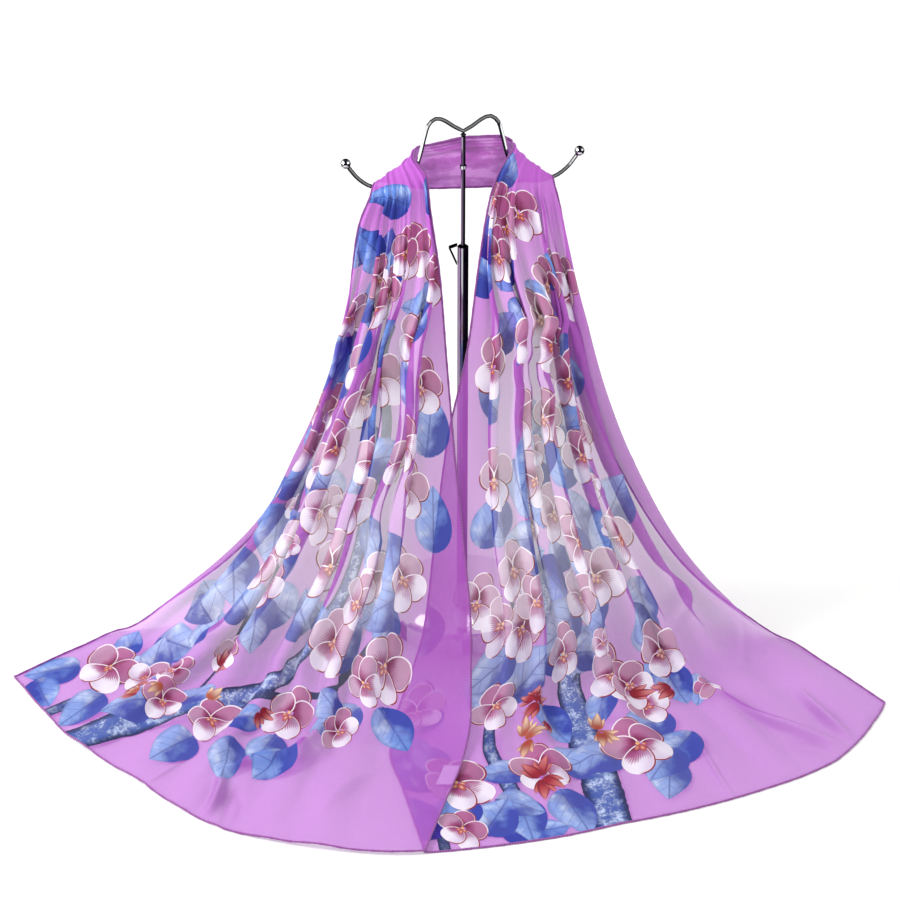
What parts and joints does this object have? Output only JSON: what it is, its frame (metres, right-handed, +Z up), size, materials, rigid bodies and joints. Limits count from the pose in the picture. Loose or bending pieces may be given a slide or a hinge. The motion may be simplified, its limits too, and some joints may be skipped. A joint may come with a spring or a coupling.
{
  "type": "chiffon scarf on a display stand",
  "caption": "Sheer floral scarf draped round the hanger of a slim chrome counter stand, its gathered ends spread wide in front.",
  "frame": {"origin": "centre of the round base's flat underside", "axes": "+Z up along the rod, -Y towards the front where the ends of the scarf spread, +X to the right as seen from the front"},
  "size_m": [0.8115, 0.4462, 0.5207],
  "materials": {
    "chiffon": "sheer printed chiffon, orchid purple ground",
    "label": "plain woven tape",
    "chrome": "polished chrome plate",
    "steel": "plated spring steel"
  },
  "bodies": {
    "stand": {"base_disc": "chrome", "outer_tube": "chrome", "inner_rod": "chrome", "rod_ring": "steel", "hanger_hub": "steel", "hanger_wire": "chrome", "ball_left": "chrome", "ball_right": "chrome", "neck_band": "chiffon", "left_fall": "chiffon", "right_fall": "chiffon", "label": "label"},
    "clip": {"lock_clip": "steel"}
  },
  "joints": [
    {"name": "clip_press", "type": "hinge", "parent": "stand", "child": "clip", "pos_m": [-0.0057, 0, 0.3775], "axis": [0, 1, 0], "range_deg": [0, 8], "stiffness_Nm_per_rad": 0.3}
  ]
}
